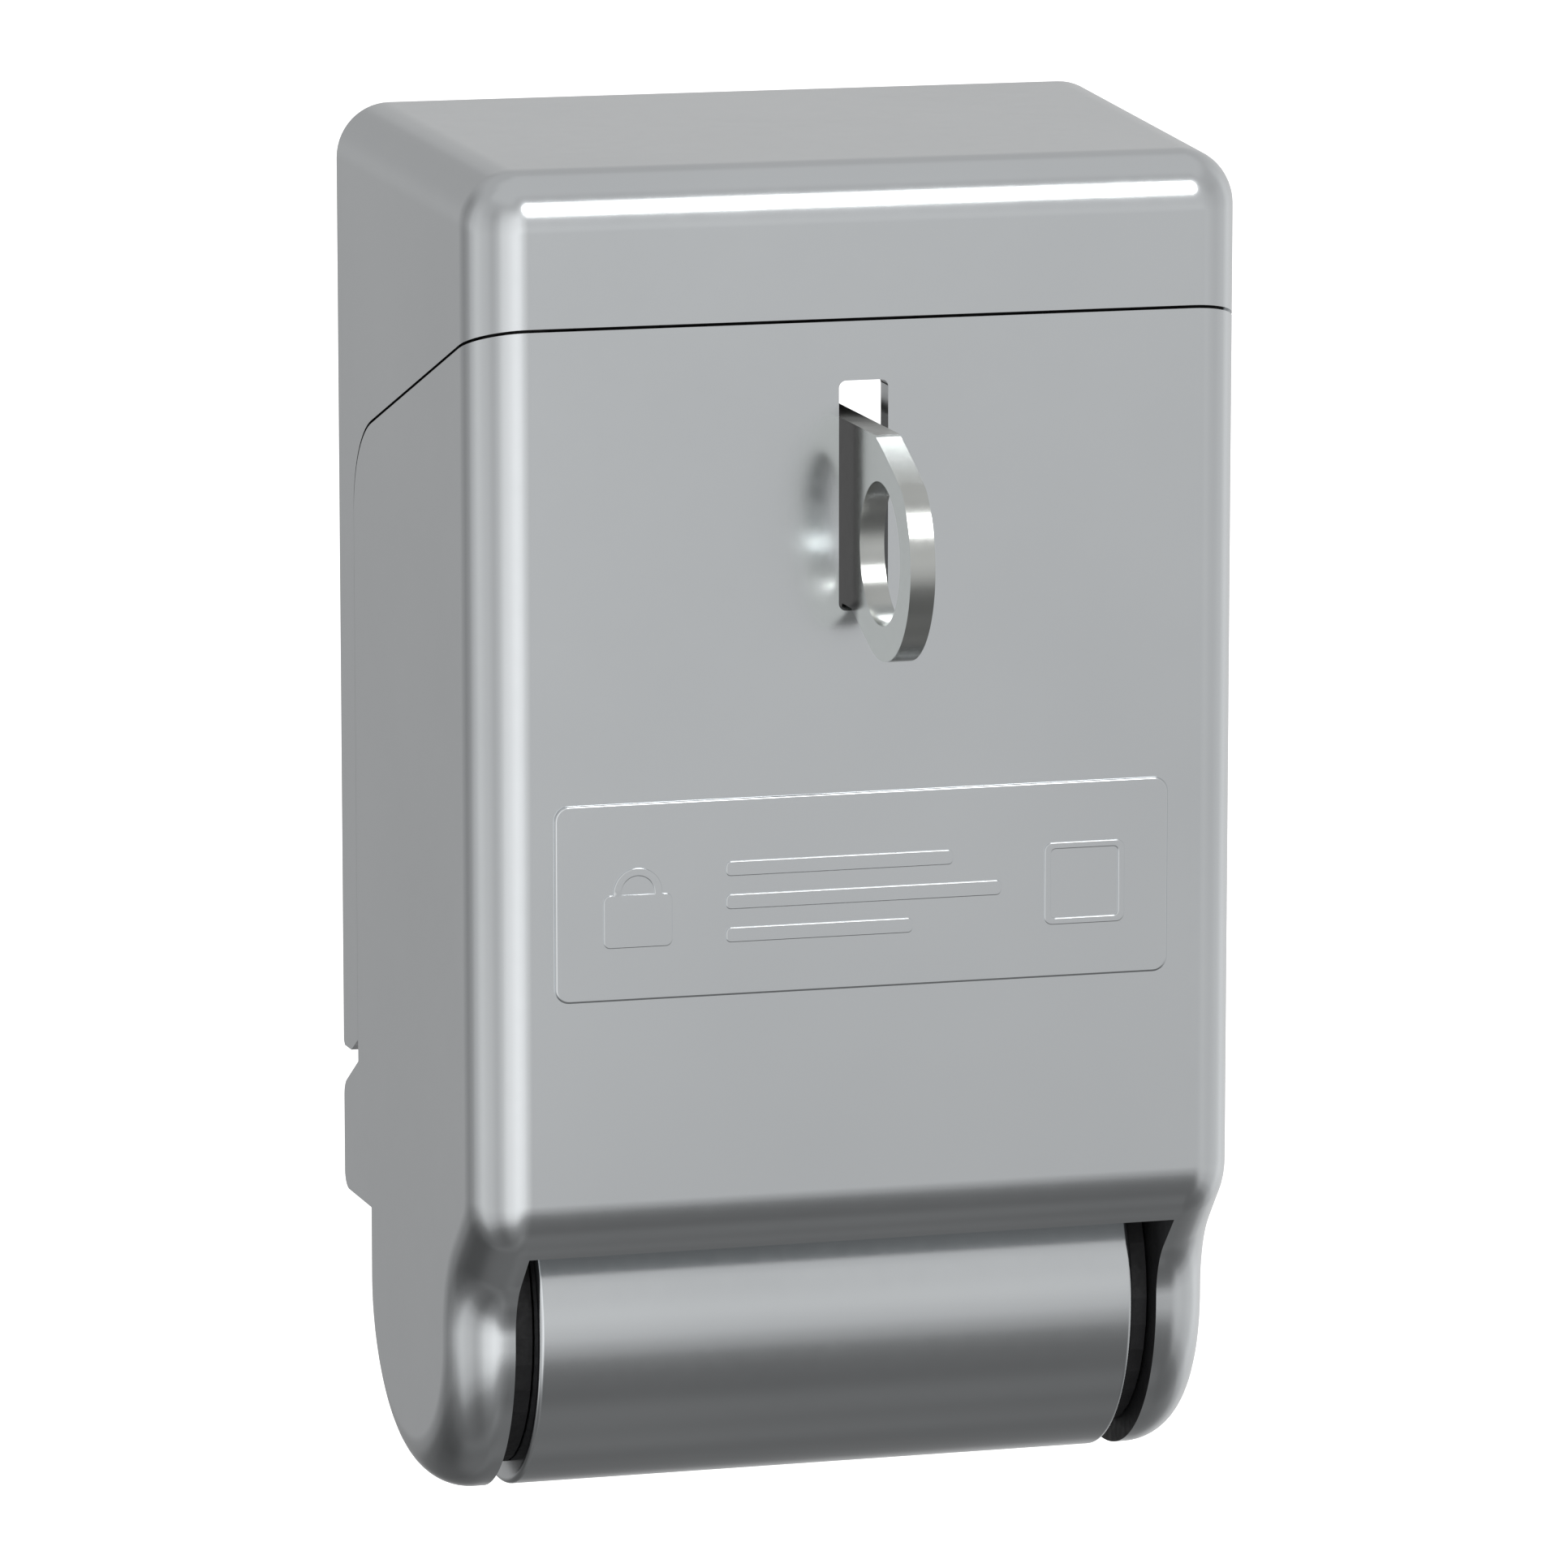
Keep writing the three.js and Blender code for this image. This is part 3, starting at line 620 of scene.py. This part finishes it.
def steel_with_painted_shade():
    """Polished at the staple's eye, with a near-black painted shade on the plate's sides where they
    enter the cover.
    """
    material, tree, shader = new_material("steel_with_painted_shade", Metallic=1.0)
    place = tree.nodes.new("ShaderNodeTexCoord")
    split = tree.nodes.new("ShaderNodeSeparateXYZ")
    tree.links.new(place.outputs["Object"], split.inputs["Vector"])
    fade = tree.nodes.new("ShaderNodeMapRange")
    fade.interpolation_type = "SMOOTHSTEP"
    fade.inputs["From Min"].default_value = PAINTED_SHADE_FROM * MM
    fade.inputs["From Max"].default_value = PAINTED_SHADE_FADE_END * MM
    tree.links.new(split.outputs["Y"], fade.inputs["Value"])
    # The dark colour is the painted shade inside the cover; the light one is the plate's own steel.
    tint(tree, shader, fade.outputs["Result"], (0.012, 0.012, 0.012), (0.43, 0.445, 0.425))
    uneven_roughness(tree, shader, 2.0, 0.19, 0.23)
    add_bump(tree, shader, noise(tree, 8.0, 2.0), 0.0006)
    return material


def sheared_edge():
    """The matt upper edge of the staple's plate."""
    material, tree, shader = new_material("sheared_edge", Metallic=0.0)
    mottle(tree, shader, 1.0, (0.4, 0.405, 0.395), (0.5, 0.505, 0.495))
    uneven_roughness(tree, shader, 3.0, 0.45, 0.6)
    add_bump(tree, shader, noise(tree, 6.0), 0.004)
    return material


def spring_steel():
    material, tree, shader = new_material("spring_steel", Metallic=1.0)
    mottle(tree, shader, 0.6, (0.36, 0.36, 0.37), (0.5, 0.5, 0.51))
    uneven_roughness(tree, shader, 3.0, 0.24, 0.4)
    add_bump(tree, shader, noise(tree, 10.0), 0.002)
    return material


def turned_brass():
    material, tree, shader = new_material("turned_brass", Metallic=1.0)
    mottle(tree, shader, 0.7, (0.68, 0.5, 0.26), (0.82, 0.64, 0.36))
    uneven_roughness(tree, shader, 4.0, 0.18, 0.32)
    add_bump(tree, shader, noise(tree, 9.0), 0.002)
    return material


def black_nylon_and_gap_shade():
    # Black nylon for the barrel's end caps; the hinge bush takes it too, as painted shade in the
    # gaps beside the barrel.
    material, tree, shader = new_material("black_nylon_and_gap_shade")
    mottle(tree, shader, 0.8, (0.012, 0.012, 0.013), (0.022, 0.022, 0.024))
    uneven_roughness(tree, shader, 3.0, 0.5, 0.7)
    add_bump(tree, shader, noise(tree, 5.0), 0.006)
    return material


def black_rubber():
    material, tree, shader = new_material("black_rubber")
    mottle(tree, shader, 1.2, (0.014, 0.014, 0.014), (0.03, 0.03, 0.031))
    uneven_roughness(tree, shader, 4.0, 0.75, 0.92)
    add_bump(tree, shader, noise(tree, 7.0), 0.01)
    return material


def dress(obj, material):
    obj.data.materials.clear()
    obj.data.materials.append(material)
    for face in obj.data.polygons:
        face.material_index = 0


def is_inner(face):
    """Whether a face belongs to the inner side of the cover's walls or of the lid's ears, which get
    the painted shade.
    """
    x, y, z = face.center / MM
    if face.normal.dot(face.center - Vector(INSIDE_POINT) * MM) > 0:
        return False
    skin = WALL * 0.6
    within = abs(x) < half_width(y) - skin and -DEPTH + skin < y < -PLATE + 0.01
    return abs(abs(x) - EAR_INNER) < 0.01 or (within and z > LIP_TOP - skin)


def is_upper_edge(face):
    """Whether a face of the staple belongs to its level upper edge."""
    return face.normal.z > 0.99 and abs(face.center.z / MM - STAPLE_TOP) < 0.01


def is_plate_side(face):
    """Whether a face is one of the two flat sides of the staple's plate."""
    return abs(face.normal.x) > 0.99 and abs(face.center.x / MM) < STAPLE_THICKNESS


def dress_some(obj, material, chosen):
    """Gives the faces that the chosen test picks a material of their own."""
    obj.data.materials.append(material)
    for face in obj.data.polygons:
        if chosen(face):
            face.material_index = len(obj.data.materials) - 1


# ---- Stage ---------------------------------------------------------------------------------------


def add_camera():
    data = bpy.data.cameras.new("camera")
    data.sensor_width = 36.0
    data.lens = CAMERA_LENS
    data.clip_start = 0.05
    data.clip_end = 20.0
    camera = bpy.data.objects.new("camera", data)
    level = math.cos(CAMERA_DOWN)
    ahead = (math.sin(CAMERA_TURN) * level, math.cos(CAMERA_TURN) * level, -math.sin(CAMERA_DOWN))
    camera.rotation_mode = "QUATERNION"
    camera.rotation_quaternion = Vector(ahead).to_track_quat("-Z", "Y")
    camera.location = Vector(CAMERA_PLACE) * MM
    bpy.context.scene.collection.objects.link(camera)
    bpy.context.scene.camera = camera


def math_node(tree, operation, *values):
    node = tree.nodes.new("ShaderNodeMath")
    node.operation = operation
    for slot, value in zip(node.inputs, values):
        if isinstance(value, (int, float)):
            slot.default_value = value
        else:
            tree.links.new(value, slot)
    return node.outputs["Value"]


def ramp_node(tree, value, stops):
    """A grey ramp of (degrees, brightness) stops over a value in degrees from -180 to 180."""
    ramp = tree.nodes.new("ShaderNodeValToRGB")
    ramp.color_ramp.interpolation = "EASE"
    for i, (degrees, level) in enumerate(stops):
        position = (degrees + 180) / 360
        if i < 2:
            stop = ramp.color_ramp.elements[i]
            stop.position = position
        else:
            stop = ramp.color_ramp.elements.new(position)
        stop.color = (level, level, level, 1)
    tree.links.new(math_node(tree, "MULTIPLY_ADD", value, 1 / 360, 0.5), ramp.inputs["Fac"])
    return ramp.outputs["Color"]


# The studio's brightness by height above the horizon, in degrees.
BY_HEIGHT = [
    (-90, 0.15), (-63, 0.18), (-50, 0.14), (-38, 0.155), (-29, 0.2), (-20, 0.39), (-12, 0.56),
    (0, 0.64), (12, 0.59), (26, 0.56), (42, 0.5), (58, 0.49), (73, 0.58), (90, 0.58),
]
# How much brighter or darker it is by direction: 0 is in front of the cover, and 90 to its left.
ROUND_ABOUT = [
    (-180, 0.78), (-173, 0.84), (-164, 0.94), (-150, 1.06), (-128, 1.16), (-112, 1.28), (-92, 1.0),
    (-72, 0.91), (-52, 0.97), (-30, 1.03), (-16, 1.0), (-5, 1.34), (4, 1.78), (14, 1.75), (36, 1.45),
    (50, 0.98), (58, 0.84), (74, 1.0), (92, 1.12), (108, 0.95), (122, 0.6), (134, 0.5), (146, 0.6),
    (160, 0.7),
]
# The share of that difference at each height: none at the top and at the bottom.
ROUND_BAND = [(-90, 0.0), (-40, 1.0), (20, 1.0), (50, 0.0)]
# How far the softboxes at the sides reach down, as a share of REACH degrees.
REACH = 16.0
REACH_DOWN = [(-180, 0), (-150, 1), (-62, 1), (-38, 0), (0, 0), (24, 1), (84, 1), (112, 0)]


def studio_background(tree):
    """The studio that the cover reflects. BY_HEIGHT reaches further down at the sides by REACH_DOWN,
    and is brighter or darker by ROUND_ABOUT."""
    place = tree.nodes.new("ShaderNodeTexCoord")
    split = tree.nodes.new("ShaderNodeSeparateXYZ")
    tree.links.new(place.outputs["Generated"], split.inputs["Vector"])
    x, y, z = split.outputs
    height = math_node(tree, "DEGREES", math_node(tree, "ARCSINE", z))
    left, forward = math_node(tree, "MULTIPLY", x, -1.0), math_node(tree, "MULTIPLY", y, -1.0)
    around = math_node(tree, "DEGREES", math_node(tree, "ARCTAN2", left, forward))
    reach = math_node(tree, "MULTIPLY", ramp_node(tree, around, REACH_DOWN), REACH)
    base = ramp_node(tree, math_node(tree, "ADD", height, reach), BY_HEIGHT)
    # The shares stay below 1 in the ramp and are doubled again after it.
    halved = [(degrees, share / 2) for degrees, share in ROUND_ABOUT]
    share = math_node(tree, "MULTIPLY", ramp_node(tree, around, halved), 2.0)
    difference = math_node(tree, "SUBTRACT", share, 1.0)
    band = ramp_node(tree, height, ROUND_BAND)
    studio = tree.nodes.new("ShaderNodeBackground")
    tree.links.new(base, studio.inputs["Color"])
    strength = math_node(tree, "MULTIPLY_ADD", difference, band, 1.0)
    tree.links.new(strength, studio.inputs["Strength"])
    return studio


def add_world():
    """A plain white backdrop for the camera, and the studio for everything else."""
    world = bpy.data.worlds.new("studio")
    world.use_nodes = True
    bpy.context.scene.world = world
    tree = world.node_tree
    tree.nodes.clear()
    studio = studio_background(tree)
    backdrop = tree.nodes.new("ShaderNodeBackground")
    backdrop.inputs["Color"].default_value = (1, 1, 1, 1)
    backdrop.inputs["Strength"].default_value = BACKDROP_STRENGTH
    path = tree.nodes.new("ShaderNodeLightPath")
    mix = tree.nodes.new("ShaderNodeMixShader")
    tree.links.new(path.outputs["Is Camera Ray"], mix.inputs["Fac"])
    tree.links.new(studio.outputs["Background"], mix.inputs[1])
    tree.links.new(backdrop.outputs["Background"], mix.inputs[2])
    output = tree.nodes.new("ShaderNodeOutputWorld")
    tree.links.new(mix.outputs["Shader"], output.inputs["Surface"])


def add_light(name, around, height, distance, size, watts):
    """A round softbox, around degrees to the left of the front and height degrees up. Its distance
    and size are in metres."""
    turn, up = math.radians(around), math.radians(height)
    level = math.cos(up)
    towards = Vector((-math.sin(turn) * level, -math.cos(turn) * level, math.sin(up)))
    data = bpy.data.lights.new(name, "AREA")
    data.shape = "DISK"
    data.size = size
    data.energy = watts
    light = bpy.data.objects.new(name, data)
    light.location = towards * distance + Vector(LIGHT_TARGET) * MM
    light.rotation_mode = "QUATERNION"
    light.rotation_quaternion = towards.to_track_quat("Z", "Y")
    bpy.context.scene.collection.objects.link(light)


def add_floor():
    """A wide pale floor below the cover, which hangs on its door. Only the camera sees it."""
    corners = [(x * FLOOR_HALF, y * FLOOR_HALF, FLOOR_HEIGHT) for x, y in SQUARE]
    floor = mesh_object("floor", corners, [(0, 1, 2, 3)])
    material, tree, shader = new_material("pale_floor", Roughness=0.9)
    tint(tree, shader, noise(tree, 0.002), (0.86, 0.86, 0.86), (0.9, 0.9, 0.9))
    shader.inputs["Emission Color"].default_value = (1, 1, 1, 1)
    shader.inputs["Emission Strength"].default_value = 0.8
    dress(floor, material)
    floor.visible_glossy = False
    floor.visible_diffuse = False


# ---- Assembly ------------------------------------------------------------------------------------

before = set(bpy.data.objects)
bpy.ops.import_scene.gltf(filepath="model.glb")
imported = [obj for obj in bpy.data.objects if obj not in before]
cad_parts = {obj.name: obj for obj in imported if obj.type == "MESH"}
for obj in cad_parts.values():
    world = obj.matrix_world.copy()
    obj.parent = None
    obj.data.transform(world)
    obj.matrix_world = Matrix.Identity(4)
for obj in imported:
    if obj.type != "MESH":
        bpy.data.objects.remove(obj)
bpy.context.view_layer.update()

add_camera()
add_world()
add_light("key", around=-20, height=39.5, distance=0.9, size=0.36, watts=1.6)
add_floor()
bpy.context.scene.view_settings.view_transform = "Standard"

metal = cast_metal()
# Painted shade for the inner faces of the walls and ears.
inner_shade = painted_inner_shade()
steel = polished_steel()
dark_steel = spring_steel()
brass = turned_brass()
nylon_and_gap_shade = black_nylon_and_gap_shade()
rubber = black_rubber()

CAD_LOOKS = {
    "staple_rivet": dark_steel,
    "threaded_insert": brass,
    "door_gasket": rubber,
    "hood_seal": rubber,
    "lid_buffer": rubber,
    "barrel_end_cap": nylon_and_gap_shade,
    # Black as painted shade in the gaps between the ears and the barrel.
    "hinge_bush": nylon_and_gap_shade,
    "torsion_spring": dark_steel,
    "hinge_pin": steel,
    "pin_end_plug": metal,
    "ear_spring_pin": dark_steel,
    "spring_collar": dark_steel,
    "collar_cross_pin": steel,
}
for node_name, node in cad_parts.items():
    for start, look in CAD_LOOKS.items():
        if node_name.startswith(start):
            dress(node, look)


def add_piece(piece, body, node_name, material):
    soften(piece)
    dress(piece, material)
    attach(piece, body)
    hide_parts(node_name)


hood, lid_body, staple = hood_shell(), lid_shell(), padlock_staple()
add_piece(hood, "base", "base_housing", metal)
add_piece(hinge_barrel(), "base", "base_housing", metal)
add_piece(lid_body, "lid_assembly", "lid", metal)
add_piece(label_pad(), "lid_assembly", "lid", metal)
add_piece(staple, "base", "padlock_staple", steel)
# The inner faces of the walls and ears get a near-black painted shade.
dress_some(hood, inner_shade, is_inner)
dress_some(lid_body, inner_shade, is_inner)
# The plate's sides get the painted shade where they enter the cover.
dress_some(staple, steel_with_painted_shade(), is_plate_side)
dress_some(staple, sheared_edge(), is_upper_edge)
